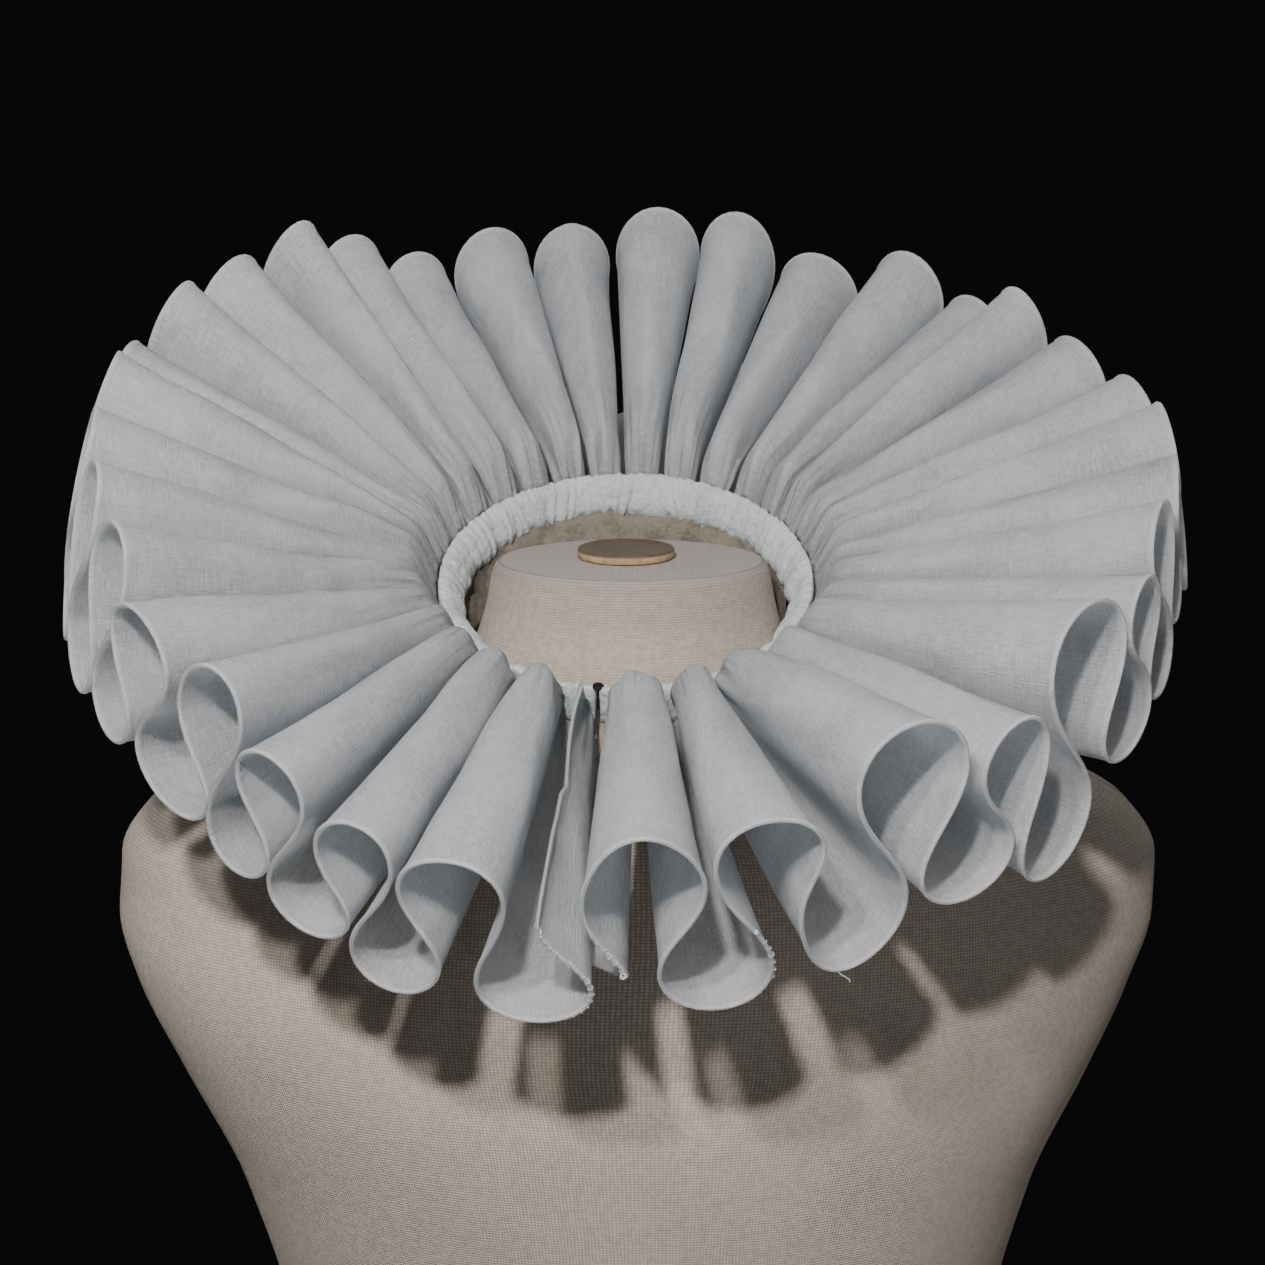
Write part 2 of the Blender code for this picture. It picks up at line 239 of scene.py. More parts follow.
def shell_faces(rows, columns):
    """Faces of a closed shell: a grid of points, then the same grid again for its other side."""
    half = rows * columns
    faces = grid_faces(rows, columns) + grid_faces(rows, columns, half, turned=True)
    for k in range(columns - 1):
        faces.append((k + 1, k, half + k, half + k + 1))
        a = (rows - 1) * columns + k
        faces.append((a, a + 1, half + a + 1, half + a))
    for k in range(rows - 1):
        a, b = k * columns, (k + 1) * columns
        faces.append((a, b, half + b, half + a))
        a, b = a + columns - 1, b + columns - 1
        faces.append((b, a, half + a, half + b))
    return faces


def normals_of(grid):
    """Unit normals of a grid of points, whose rows run along the strip."""
    normal = np.cross(np.gradient(grid, axis=1), np.gradient(grid, axis=0))
    return normal / np.linalg.norm(normal, axis=-1, keepdims=True)


# ================================================================================================
# the strip's form, as in the part's source
# ================================================================================================
def section_shape(lean):
    """One figure-of-eight wave: its place, its swing to the side and its height, for one lean."""
    fine = np.linspace(0, 2 * math.pi, 721)
    heading = lean * np.sin(fine)
    step = fine[1]

    def summed(rate):
        return np.concatenate([[0], np.cumsum((rate[1:] + rate[:-1]) / 2 * step)])

    along, up = summed(np.cos(heading)), summed(np.sin(heading))
    wave = fine / (2 * math.pi)
    return wave, along / along[-1] - wave, up / up.max()


def lean_at(v):
    """The section's lean at v, 0 at the band and 1 at the hem. The roots are drawn in at the band."""
    at = np.array([0.0, 0.05, 0.13, 0.45, 1.0])
    leans = np.array([LEAN_AT_ROOT, 2.02, LEAN_AT_BAND, LEAN_AT_MIDDLE, LEAN_AT_HEM])
    return through(at, leans, v)


def hem_tables():
    """The hem's waves, where they point, and the heights of its crests and lows."""
    waves, toward = [], []
    for k, flute in enumerate(FLUTES):
        waves += [k, k + 0.5]
        toward += [flute.low_toward, flute.toward]
    waves += [len(FLUTES), len(FLUTES) + 0.5]
    toward += [LAST_LOW.low_toward, LAST_LOW.toward]
    crest = np.array([f.rise for f in FLUTES])
    low = np.array([f.low_rise for f in FLUTES] + [LAST_LOW.low_rise])
    crest_height = FLUTE_LENGTH * np.sin(np.radians(crest))
    low_height = FLUTE_LENGTH * np.sin(np.radians(low))
    return np.array(waves), np.radians(toward), crest_height, low_height


HEM_WAVES, HEM_TOWARD, CREST_HEIGHT, LOW_HEIGHT = hem_tables()
NECK_WAVES = np.arange(len(FLUTES) + 3) - 0.5
NECK_TOWARD = np.radians([NECK_BEFORE, *(f.neck for f in FLUTES), LAST_LOW.neck, NECK_AFTER])


def azimuth(wave, v):
    """The strip's heading round the ring, in radians."""
    at_band = through(NECK_WAVES, NECK_TOWARD, wave)
    inside = np.clip(wave, HEM_WAVES[0], HEM_WAVES[-1])
    pitch = 2 * math.pi / len(FLUTES)
    at_hem = through(HEM_WAVES, HEM_TOWARD, inside) + (wave - inside) * pitch
    straight = v * (GATHER_RADIUS + FLUTE_LENGTH) / (GATHER_RADIUS + v * FLUTE_LENGTH)
    return at_band + (at_hem - at_band) * straight


def swell(v):
    """Share of the full puff at v."""
    return through(np.array([0.0, 0.08, 0.3, 1.0]), np.array([0.0, 1.0, 0.87, 0.41]), v)


SHAPE_LEANS = np.linspace(1.0, 2.3, 27)
SHAPES = [section_shape(lean) for lean in SHAPE_LEANS]
SWINGS = np.array([swing for _, swing, _ in SHAPES])
HEIGHTS = np.array([height for _, _, height in SHAPES])


def shape_at(wave, v):
    """The strip's swing and height at each wave, between those of the leans above and below its own."""
    lean = np.full_like(wave, float(lean_at(v)))
    for slack in SLACKS:
        lean -= slack.less * np.exp(-(((wave - slack.wave) / slack.reach) ** 2))
    row = (lean - SHAPE_LEANS[0]) / (SHAPE_LEANS[1] - SHAPE_LEANS[0])
    column = (wave - np.floor(wave)) * (SWINGS.shape[1] - 1)
    r, c = np.floor(row).astype(int), np.floor(column).astype(int)
    up, on = row - r, column - c

    def between(table):
        below = table[r, c] * (1 - on) + table[r, c + 1] * on
        above = table[r + 1, c] * (1 - on) + table[r + 1, c + 1] * on
        return below * (1 - up) + above * up

    return between(SWINGS), between(HEIGHTS)


def strip_point(wave, v):
    """A point of the strip's middle surface in the ring's frame, for an array of waves at one v."""
    swing, height = shape_at(wave, v)
    pitch = azimuth(wave + 0.5, v) - azimuth(wave - 0.5, v)
    angle = azimuth(wave, v) + swing * pitch
    crest = through(np.arange(len(CREST_HEIGHT)) + 0.5, CREST_HEIGHT, wave)
    low = through(np.arange(len(LOW_HEIGHT)), LOW_HEIGHT, wave)
    at_band = (NECK_DEPTH + PUFF * float(swell(v))) * (height - 0.5)
    climb = (low + (crest - low) * height) * v
    reach = np.sqrt((v * FLUTE_LENGTH) ** 2 - climb**2)
    radius = GATHER_RADIUS + reach
    return np.stack([radius * np.cos(angle), radius * np.sin(angle), at_band + climb], axis=-1)


def ring_frame():
    return Matrix.Translation(RING_CENTRE) @ Matrix.Rotation(math.radians(RING_TILT_DEG), 4, "X")


RING = np.array(ring_frame())


def to_world(points):
    return points @ RING[:3, :3].T + RING[:3, 3]


# ================================================================================================
# materials
# ================================================================================================
class Nodes:
    """Short hands for one material's nodes."""

    def __init__(self, name, roughness):
        self.material = bpy.data.materials.new(name)
        self.material.use_nodes = True
        self.tree = self.material.node_tree
        self.shader = self.tree.nodes["Principled BSDF"]
        self.shader.inputs["Roughness"].default_value = roughness
        self.shader.inputs["Specular IOR Level"].default_value = 0.25

    def add(self, kind, **values):
        node = self.tree.nodes.new(kind)
        for key, value in values.items():
            setattr(node, key, value)
        return node

    def link(self, a, b):
        self.tree.links.new(a, b)

    def put(self, socket, value):
        if isinstance(value, bpy.types.NodeSocket):
            self.link(value, socket)
        else:
            socket.default_value = value

    def math(self, kind, a, b=None, c=None):
        node = self.add("ShaderNodeMath", operation=kind)
        for socket, value in zip(node.inputs, (a, b, c)):
            if value is not None:
                self.put(socket, value)
        return node.outputs[0]

    def spread(self, value, low, high, to_low=0.0, to_high=1.0):
        node = self.add("ShaderNodeMapRange", interpolation_type="SMOOTHSTEP")
        for key, what in (("Value", value), ("From Min", low), ("From Max", high),
                          ("To Min", to_low), ("To Max", to_high)):
            self.put(node.inputs[key], what)
        return node.outputs["Result"]

    def uv(self):
        return self.add("ShaderNodeUVMap", uv_map="cloth").outputs["UV"]

    def place(self):
        return self.add("ShaderNodeTexCoord").outputs["Object"]

    def scaled(self, vector, scale, shift=(0, 0, 0)):
        node = self.add("ShaderNodeMapping")
        self.link(vector, node.inputs["Vector"])
        node.inputs["Scale"].default_value = scale
        node.inputs["Location"].default_value = shift
        return node.outputs["Vector"]

    def parts(self, vector):
        """The vector's X, Y and Z."""
        node = self.add("ShaderNodeSeparateXYZ")
        self.link(vector, node.inputs["Vector"])
        return node.outputs

    def noise(self, vector, scale, detail=2.0, roughness=0.5, dimensions="3D"):
        node = self.add("ShaderNodeTexNoise", noise_dimensions=dimensions)
        self.link(vector, node.inputs["Vector"])
        node.inputs["Scale"].default_value = scale
        node.inputs["Detail"].default_value = detail
        node.inputs["Roughness"].default_value = roughness
        return node.outputs["Fac"]

    def blend(self, share, a, b):
        """Colour a, and more of colour b as the share grows from 0 to 1."""
        node = self.add("ShaderNodeMix", data_type="RGBA")
        self.put(node.inputs["Factor"], share)
        for socket, value in ((node.inputs[6], a), (node.inputs[7], b)):
            self.put(socket, (*value, 1) if isinstance(value, tuple) else value)
        return node.outputs[2]

    def bump(self, height, distance, strength=1.0, after=None):
        node = self.add("ShaderNodeBump")
        node.inputs["Distance"].default_value = distance
        node.inputs["Strength"].default_value = strength
        self.link(height, node.inputs["Height"])
        if after is not None:
            self.link(after, node.inputs["Normal"])
        return node.outputs["Normal"]


def thread_drift(n, vector):
    """How far the threads stray from straight lines."""
    return n.noise(vector, 260.0, 0.0, dimensions="2D")


def threads(n, place, drift, pitch, waver=0.25):
    """Threads side by side, 1 at the middle of each and 0 between them."""
    along = n.math("ADD", n.math("DIVIDE", place, pitch), n.math("MULTIPLY", drift, waver))
    turn = n.math("MULTIPLY", along, 2 * math.pi)
    return n.math("MULTIPLY_ADD", n.math("SINE", turn), 0.5, 0.5)


def yarn(n, vector, across, along, shift, low=0.36, high=0.64):
    """Uneven yarns, long in one direction: how many a metre, and how short their thick parts are."""
    field = n.noise(n.scaled(vector, (across, along, 1.0), shift), 1.0, 1.0, 0.55, "2D")
    return n.spread(field, low, high)


def slubs(n, vector, across, along, shift):
    """Thicker stretches of single yarns."""
    field = n.noise(n.scaled(vector, (across, along, 1.0), shift), 1.0, 0.0, dimensions="2D")
    return n.spread(field, 0.56, 0.72)


def linen_material(name):
    """Linen on its pattern: X runs along the strip, and Y out to the hem, once for each face."""
    n = Nodes(name, 0.82)
    uv = n.uv()
    pattern = n.parts(uv)
    across, outward = pattern["X"], pattern["Y"]
    out = n.math("MULTIPLY", n.math("FRACT", n.math("DIVIDE", outward, SIDE_SHIFT)), SIDE_SHIFT)
    warp = yarn(n, uv, 1500.0, 130.0, (3.1, 7.7, 0))
    weft = yarn(n, uv, 130.0, 1500.0, (11.3, 2.9, 0))
    weave = n.math("MULTIPLY", n.math("ADD", warp, weft), 0.5)
    drift = thread_drift(n, uv)
    grid = n.math("MULTIPLY", threads(n, across, drift, WARP_PITCH), threads(n, outward, drift, WEFT_PITCH))
    warp_slub = slubs(n, uv, 1900.0, 85.0, (5.5, 1.2, 0))
    weft_slub = slubs(n, uv, 85.0, 1900.0, (8.8, 4.1, 0))
    slub = n.math("MAXIMUM", warp_slub, weft_slub)
    patch = n.noise(n.scaled(uv, (34.0, 34.0, 1.0), (5.5, 1.2, 0)), 1.0, 0.0, dimensions="2D")
    slub = n.math("MULTIPLY", slub, n.spread(patch, 0.36, 0.62))
    cloudy = n.noise(n.scaled(uv, (24.0, 24.0, 1.0)), 1.0, 2.0, 0.6, "2D")
    dull = tuple(c * DULL_SHARE for c in LINEN_TINT)
    pale = tuple(min(PALEST, c * PALE_SHARE) for c in LINEN_TINT)
    colour = n.blend(n.spread(cloudy, 0.32, 0.68), dull, LINEN_TINT)
    colour = n.blend(n.spread(weave, 0.15, 0.85, 0.0, 0.75), colour, pale)
    colour = n.blend(n.spread(grid, 0.2, 1.0, 0.0, 0.30), colour, pale)
    colour = n.blend(n.math("MULTIPLY", slub, 0.8), colour, (0.96, 0.97, 0.98))
    # the hem and the seam are paler: the seam for its doubled cloth, the hem for its doubled cloth and a
    # painted highlight along it
    hem = n.spread(out, FLUTE_LENGTH - HEM_START, FLUTE_LENGTH - HEM_FULL)
    seam_side = n.math("ABSOLUTE", n.math("SUBTRACT", across, SEAM_FLUTE * WAVE_CUT))
    seam = n.spread(seam_side, SEAM_ALLOWANCE + SEAM_SOFT, SEAM_ALLOWANCE - SEAM_SOFT)
    doubled_cloth_and_hem_highlight = n.math("MAXIMUM", hem, n.math("MULTIPLY", seam, 0.6))
    colour = n.blend(n.math("MULTIPLY", doubled_cloth_and_hem_highlight, 0.9), colour, (0.95, 0.955, 0.96))
    n.link(colour, n.shader.inputs["Base Color"])
    gathers = n.noise(n.scaled(uv, (95.0, 7.0, 1.0)), 1.0, 1.0, 0.6, "2D")
    near = n.spread(out, 0.004, 0.050, 1.0, 0.0)
    folds = n.noise(n.scaled(uv, (38.0, 4.5, 1.0), (2.2, 0.4, 0)), 1.0, 1.0, 0.5, "2D")
    first = n.bump(n.math("MULTIPLY", gathers, near), 0.0060, 0.8)
    second = n.bump(folds, 0.0045, 0.75, first)
    surface = n.bump(n.math("MULTIPLY_ADD", grid, 0.5, weave), 0.00042, 0.75, second)
    n.link(surface, n.shader.inputs["Normal"])
    through_cloth = n.add("ShaderNodeBsdfTranslucent")
    n.link(colour, through_cloth.inputs["Color"])
    n.link(surface, through_cloth.inputs["Normal"])
    both = n.add("ShaderNodeMixShader")
    both.inputs[0].default_value = LIGHT_THROUGH
    n.link(n.shader.outputs[0], both.inputs[1])
    n.link(through_cloth.outputs[0], both.inputs[2])
    n.link(both.outputs[0], n.tree.nodes["Material Output"].inputs["Surface"])
    n.shader.inputs["Specular IOR Level"].default_value = 0.0
    return n.material


def cover_material():
    """The form's close woven cotton cover."""
    n = Nodes("form_cover", 0.88)
    place = n.place()
    uv = n.uv()
    drift, flat = thread_drift(n, uv), n.parts(uv)
    across = threads(n, flat["X"], drift, 0.00112, 0.35)
    up = threads(n, flat["Y"], drift, 0.00104, 0.35)
    weave = n.math("MULTIPLY", across, up)
    cloudy = n.noise(place, 11.0, 2.0, 0.62)
    fine = n.noise(place, 420.0, 1.0, 0.6)
    colour = n.blend(n.spread(cloudy, 0.33, 0.70), (0.43, 0.362, 0.292), (0.505, 0.432, 0.355))
    colour = n.blend(n.spread(weave, 0.0, 0.8, 0.0, 1.0), colour, (0.80, 0.715, 0.61))
    colour = n.blend(n.spread(fine, 0.38, 0.66, 0.0, 0.30), colour, (0.29, 0.235, 0.185))
    top = n.spread(n.parts(place)["Z"], FORM_HEIGHT - 0.008, FORM_HEIGHT, 0.0, 0.75)
    colour = n.blend(top, colour, (0.37, 0.315, 0.305))
    n.link(colour, n.shader.inputs["Base Color"])
    n.link(n.bump(weave, 0.00030, 0.9), n.shader.inputs["Normal"])
    n.shader.inputs["Sheen Weight"].default_value = 0.08
    return n.material


def band_material():
    """The band's fleecy cover, puckered across."""
    n = Nodes("band_linen", 0.9)
    place = n.place()
    fuzz = n.noise(place, 1100.0, 2.0, 0.7)
    cloudy = n.noise(place, 60.0, 1.0, 0.6)
    tuft = n.noise(place, 330.0, 1.0, 0.6)
    colour = n.blend(n.spread(cloudy, 0.3, 0.7), (0.42, 0.47, 0.47), (0.54, 0.59, 0.59))
    colour = n.blend(n.spread(tuft, 0.35, 0.65, 0.0, 0.5), colour, (0.64, 0.68, 0.65))
    colour = n.blend(n.spread(fuzz, 0.40, 0.66, 0.0, 0.45), colour, (0.70, 0.75, 0.74))
    n.link(colour, n.shader.inputs["Base Color"])
    soft = n.bump(tuft, 0.0014, 0.7)
    n.link(n.bump(fuzz, 0.0006, 0.7, soft), n.shader.inputs["Normal"])
    n.shader.inputs["Sheen Weight"].default_value = 0.2
    return n.material


def facing_painted_shade_material():
    """Unbleached cotton, painted a dark greyish brown all over as the shade it lies in under the band,
    darker in random patches.
    """
    n = Nodes("facing_cotton_painted_shade", 0.9)
    place = n.place()
    cloudy = n.noise(place, 90.0, 3.0, 0.6)
    fine = n.noise(place, 700.0, 3.0, 0.6)
    # painted shade: these dark browns stand for the cotton lying in shade under the band, not for its own
    # colour
    colour = n.blend(n.spread(cloudy, 0.3, 0.7), (0.11, 0.088, 0.068), (0.22, 0.185, 0.148))
    colour = n.blend(n.spread(fine, 0.35, 0.68, 0.0, 0.4), colour, (0.30, 0.262, 0.215))
    n.link(colour, n.shader.inputs["Base Color"])
    n.link(n.bump(fine, 0.0004, 0.6), n.shader.inputs["Normal"])
    return n.material


def wood_material():
    """Turned wood: a dull brown top and a paler rim."""
    n = Nodes("wood", 0.55)
    place = n.place()
    ring = n.noise(n.scaled(place, (60.0, 420.0, 420.0)), 1.0, 4.0, 0.6)
    spots = n.noise(place, 700.0, 2.0, 0.6)
    top = n.spread(n.parts(place)["Z"], FORM_HEIGHT + 0.0026, FORM_HEIGHT + 0.0036)
    rim = n.blend(n.spread(ring, 0.3, 0.72), (0.55, 0.40, 0.25), (0.40, 0.27, 0.16))
    worn = n.blend(n.spread(ring, 0.3, 0.72), (0.140, 0.098, 0.062), (0.082, 0.056, 0.035))
    colour = n.blend(top, rim, worn)
    colour = n.blend(n.spread(spots, 0.55, 0.8, 0.0, 0.5), colour, (0.10, 0.065, 0.04))
    n.link(colour, n.shader.inputs["Base Color"])
    n.link(n.bump(ring, 0.0003, 0.5), n.shader.inputs["Normal"])
    return n.material


def plain_material(name, colour, roughness):
    """One colour with a faint grain."""
    n = Nodes(name, roughness)
    grain = n.noise(n.place(), 300.0, 2.0)
    n.link(n.blend(n.spread(grain, 0.3, 0.7), tuple(c * 0.9 for c in colour), colour),
           n.shader.inputs["Base Color"])
    return n.material


# ================================================================================================
# the cloth
# ================================================================================================
def v_rows():
    """Where the cloth's rows lie from band to hem, closer together at both."""
    near = np.array([0.0, 0.006, 0.014, 0.024, 0.036, 0.050, 0.066, 0.084, 0.104, 0.127, 0.153, 0.182])
    middle = np.linspace(0.212, 0.965, 23)
    hem = 1 - np.array([2.9, 2.35, 2.0, 1.6, 1.0, 0.45, 0.0]) * MM / FLUTE_LENGTH
    return np.concatenate([near, middle, hem])


def wave_lengths(rows):
    """The strip's mean length of one wave at each v."""
    found = []
    for v in rows:
        points = strip_point(np.linspace(5, 25, 2401), v)
        found.append(np.linalg.norm(np.diff(points, axis=0), axis=1).sum() / 20)
    return np.array(found)


# A crease is a soft trough (or, with a depth below 0, a ridge) along a line on the cloth, from one
# end to the other, with its depth and half width in millimetres.
Crease = namedtuple("Crease", "wave v to_wave to_v depth width")
CREASES = (
    Crease(0.62, 0.10, 0.60, 0.55, 1.2, 4),
    Crease(0.42, 0.15, 0.43, 0.50, -0.9, 4),
    Crease(0.30, 0.40, 0.22, 0.95, 1.2, 5),
    Crease(1.47, 0.30, 1.42, 0.62, 1.2, 4),
    Crease(1.58, 0.12, 1.62, 0.50, -1.0, 4),
    Crease(2.36, 0.08, 2.40, 0.50, 1.8, 5),
    Crease(2.60, 0.08, 2.55, 0.66, 1.5, 5),
    Crease(2.50, 0.70, 2.42, 0.94, 1.2, 6),
    Crease(3.42, 0.10, 3.44, 0.60, 1.5, 5),
    Crease(3.58, 0.20, 3.50, 0.80, 1.4, 6),
    Crease(4.44, 0.25, 4.40, 0.85, 1.7, 6),
    Crease(4.58, 0.15, 4.60, 0.55, -1.4, 5),
    Crease(5.46, 0.15, 5.50, 0.70, 1.4, 5),
    Crease(6.42, 0.20, 6.46, 0.62, 1.5, 5),
    Crease(6.60, 0.10, 6.55, 0.45, 1.2, 4),
    Crease(7.50, 0.25, 7.45, 0.85, 1.4, 6),
    Crease(8.45, 0.12, 8.52, 0.60, 1.5, 5),
    Crease(9.55, 0.15, 9.48, 0.75, 1.7, 5),
    Crease(9.40, 0.50, 9.44, 0.92, -1.2, 5),
    Crease(10.28, 0.14, 10.32, 0.32, 3.0, 4),
    Crease(10.52, 0.30, 10.46, 0.80, 1.5, 6),
    Crease(11.46, 0.10, 11.55, 0.66, 1.8, 5),
    Crease(12.55, 0.20, 12.48, 0.78, 1.5, 5),
    Crease(13.44, 0.12, 13.50, 0.58, 1.7, 5),
    Crease(13.58, 0.55, 13.52, 0.92, 1.2, 5),
    Crease(14.52, 0.14, 14.46, 0.70, 1.8, 5),
    Crease(15.42, 0.20, 15.48, 0.85, 1.5, 5),
    Crease(15.60, 0.10, 15.56, 0.50, 1.7, 4),
    Crease(16.46, 0.12, 16.52, 0.64, 2.0, 5),
    Crease(16.58, 0.50, 16.54, 0.90, 1.2, 5),
    Crease(17.40, 0.15, 17.42, 0.72, 1.5, 5),
    Crease(17.58, 0.10, 17.60, 0.55, 1.8, 4),
    Crease(18.46, 0.12, 18.54, 0.70, 1.8, 5),
    Crease(19.52, 0.16, 19.44, 0.60, 1.7, 5),
    Crease(19.58, 0.60, 19.52, 0.93, 1.2, 5),
    Crease(20.44, 0.10, 20.50, 0.74, 1.8, 5),
    Crease(21.55, 0.18, 21.48, 0.64, 1.5, 5),
    Crease(22.42, 0.12, 22.50, 0.80, 1.7, 5),
    Crease(22.60, 0.20, 22.56, 0.52, -1.2, 4),
    Crease(23.50, 0.14, 23.44, 0.66, 1.5, 5),
    Crease(24.46, 0.22, 24.52, 0.84, 1.7, 6),
    Crease(25.56, 0.08, 25.50, 0.40, 2.0, 5),
    Crease(25.44, 0.45, 25.50, 0.88, 1.4, 6),
    Crease(26.50, 0.69, 26.56, 0.58, 3.0, 3),
    Crease(26.54, 0.44, 26.46, 0.12, 2.1, 5),
    Crease(27.57, 0.46, 27.57, 0.25, 2.0, 4),
    Crease(27.44, 0.55, 27.48, 0.92, 1.2, 6),
    Crease(28.55, 0.43, 28.60, 0.37, 2.7, 5),
    Crease(28.46, 0.10, 28.50, 0.34, 1.5, 5),
    Crease(29.46, 0.46, 29.54, 0.40, 1.8, 4),
    Crease(29.58, 0.12, 29.52, 0.36, 1.5, 5),
    Crease(29.42, 0.60, 29.46, 0.94, 1.2, 6),
    Crease(30.42, 0.85, 30.34, 0.35, 2.0, 5),
    Crease(30.58, 0.20, 30.54, 0.62, 1.4, 5),
    Crease(31.44, 0.14, 31.38, 0.66, 1.7, 6),
    Crease(31.60, 0.55, 31.56, 0.90, 1.0, 6),
    Crease(32.64, 0.14, 32.63, 0.55, 2.0, 6),
    Crease(32.44, 0.10, 32.46, 0.40, 1.4, 5),
    Crease(33.44, 0.12, 33.40, 0.50, 1.5, 5),
    Crease(33.60, 0.03, 33.63, 0.13, -2.7, 6),
    Crease(33.78, 0.02, 33.80, 0.10, -3.6, 6),
    Crease(33.56, 0.30, 33.60, 0.75, 1.4, 6),
    Crease(34.16, 0.25, 34.12, 0.90, 1.7, 4),
    Crease(34.25, 0.40, 34.21, 0.96, -1.7, 4),
)


def creases(wave, v, length, table):
    push = np.zeros_like(wave)
    for c in table:
        x, y = (wave - c.wave) * length, (v - c.v) * FLUTE_LENGTH
        ax, ay = (c.to_wave - c.wave) * length, (c.to_v - c.v) * FLUTE_LENGTH
        span = np.maximum(ax**2 + ay**2, 1e-9)
        t = np.clip((x * ax + y * ay) / span, 0, 1)
        away = np.hypot(x - t * ax, y - t * ay) / (c.width * MM)
        fade = 1 - 0.65 * np.abs(2 * t - 1) ** 2
        push -= c.depth * MM * fade * np.exp(-(away**2))
    return push


def relief(wave, v, length):
    """How far the cloth stands out from its even form, along its normal."""
    reach = 0.13 + 0.09 * wander(wave * 5, 3)
    fade = np.exp(-((v / reach) ** 2)) * smooth(-0.004, 0.012, v)
    fine = wander(wave * GATHER_PITCHES * 2, 1) * 0.6 + np.sin(
        2 * math.pi * (wave * GATHER_PITCHES + 0.6 * wander(wave * 4, 2))
    )
    push = GATHER_DEPTH * fine * fade
    soft = smooth(0.05, 0.3, v) * (1 - smooth(0.75, 1.0, v))
    push += 0.00080 * wander(wave * 6 + 0.8 * wander(v * 3, 8), 4) * soft
    push += 0.00055 * wander(wave * 8, 5) * smooth(0.75, 1.0, v)
    return push + creases(wave, v, length, CREASES)


# The free edges at the opening aren't straight: by how many waves each is shifted, from band to hem.
START_ROWS = (0.0, 0.15, 0.35, 0.60, 0.80, 0.93, 1.0)
START_SHIFTS = (0.0, -0.06, -0.09, -0.11, -0.11, -0.04, 0.01)
FLAP_ROWS = (0.0, 0.10, 0.30, 0.42, 0.48, 0.58, 0.70, 0.80, 0.90, 1.0)
FLAP_SHIFTS = (0.08, 0.10, 0.02, -0.01, 0.02, 0.02, 0.05, 0.035, 0.045, 0.03)


def hem_thickness(distance):
    """The rolled hem's thickness at a distance from its edge, in metres."""
    at = np.array([0.0, 0.45, 1.0, 1.6, 2.0, 2.35, 60.0]) * MM
    thick = np.array([0.55, 1.25, 1.5, 1.35, 0.95, 0.5, 0.5]) * MM
    return np.interp(distance, at, thick)


def end_thickness(distance):
    """The same for the turned edge at each free end."""
    at = np.array([0.0, 0.3, 0.8, 2.6, 3.1, 3.5, 60.0]) * MM
    thick = np.array([0.5, 1.0, 1.1, 1.05, 0.8, 0.5, 0.5]) * MM
    return np.interp(distance, at, thick)


def build_cloth(name, first, last, free_start, free_end, material, least=CLOTH):
    """The strip's cloth from the first wave to the last, at least so thick, with free or joined ends."""
    rows = v_rows()
    lengths = wave_lengths(rows)
    end_steps = np.array([0.0, 0.3, 0.8, 1.7, 2.6, 3.1, 3.5, 4.6]) * MM
    count = max(6, round((last - first) * COLUMNS_PER_WAVE))
    grid, waves, near_end = [], [], []
    for v, length in zip(rows, lengths):
        low, high = first, last
        lead, tail = [], []
        if free_start:
            low += np.interp(v, START_ROWS, START_SHIFTS)
            lead = low + end_steps / length
            low = lead[-1]
        else:
            low += SEAM_SETBACK / length
        if free_end:
            high += np.interp(v, FLAP_ROWS, FLAP_SHIFTS)
            tail = (high - end_steps / length)[::-1]
            high = tail[0]
        else:
            high -= SEAM_SETBACK / length
        middle = np.linspace(low, high, count + 1)
        wave = np.concatenate([lead[:-1], middle, tail[1:]])
        waves.append(wave)
        grid.append(strip_point(wave, v))
        away = np.full(len(wave), 1.0)
        if free_start:
            away = np.minimum(away, (wave - wave[0]) * length)
        if free_end:
            away = np.minimum(away, (wave[-1] - wave) * length)
        near_end.append(away)
    grid, waves, near_end = np.array(grid), np.array(waves), np.array(near_end)
    v_grid = np.repeat(rows[:, None], grid.shape[1], axis=1)
    length_grid = np.repeat(lengths[:, None], grid.shape[1], axis=1)
    push = relief(waves, v_grid, length_grid)
    grid = grid + normals_of(grid) * push[..., None]
    normal = normals_of(grid)
    thick = np.maximum(hem_thickness((1 - v_grid) * FLUTE_LENGTH), end_thickness(near_end))
    thick = np.maximum(thick, least)
    upper = grid + normal * thick[..., None] / 2
    lower = grid - normal * thick[..., None] / 2
    points = np.concatenate([upper.reshape(-1, 3), lower.reshape(-1, 3)])
    faces = shell_faces(*grid.shape[:2])
    flat = np.stack([waves * WAVE_CUT, v_grid * FLUTE_LENGTH], axis=-1).reshape(-1, 2)
    flat = np.concatenate([flat, flat + np.array([0.0, SIDE_SHIFT])])
    return add_mesh(name, to_world(points), faces, material, flat)


# ================================================================================================
# the neckband
# ================================================================================================
BAND_PROFILE = (  # radius and height in the ring's frame, round the section
    (0.0750, -0.0080),
    (0.0750, -0.0020),
    (0.0750, 0.0060),
    (0.0747, 0.0086),
    (0.0734, 0.0092),
    (0.0708, 0.0080),
    (0.0688, 0.0056),
    (0.0673, 0.0030),
    (0.0660, 0.0002),
    (0.0652, -0.0022),
    (0.0652, -0.0048),
    (0.0662, -0.0072),
    (0.0684, -0.0084),
    (0.0718, -0.0084),
)
BAND_STEPS_FINE = 700
BAND_SIDES_FINE = 42
PUCKER_DEPTH = 1.35 * MM
BAND_END_REACH = 0.012  # radians by which each padded end swells towards the other at the opening


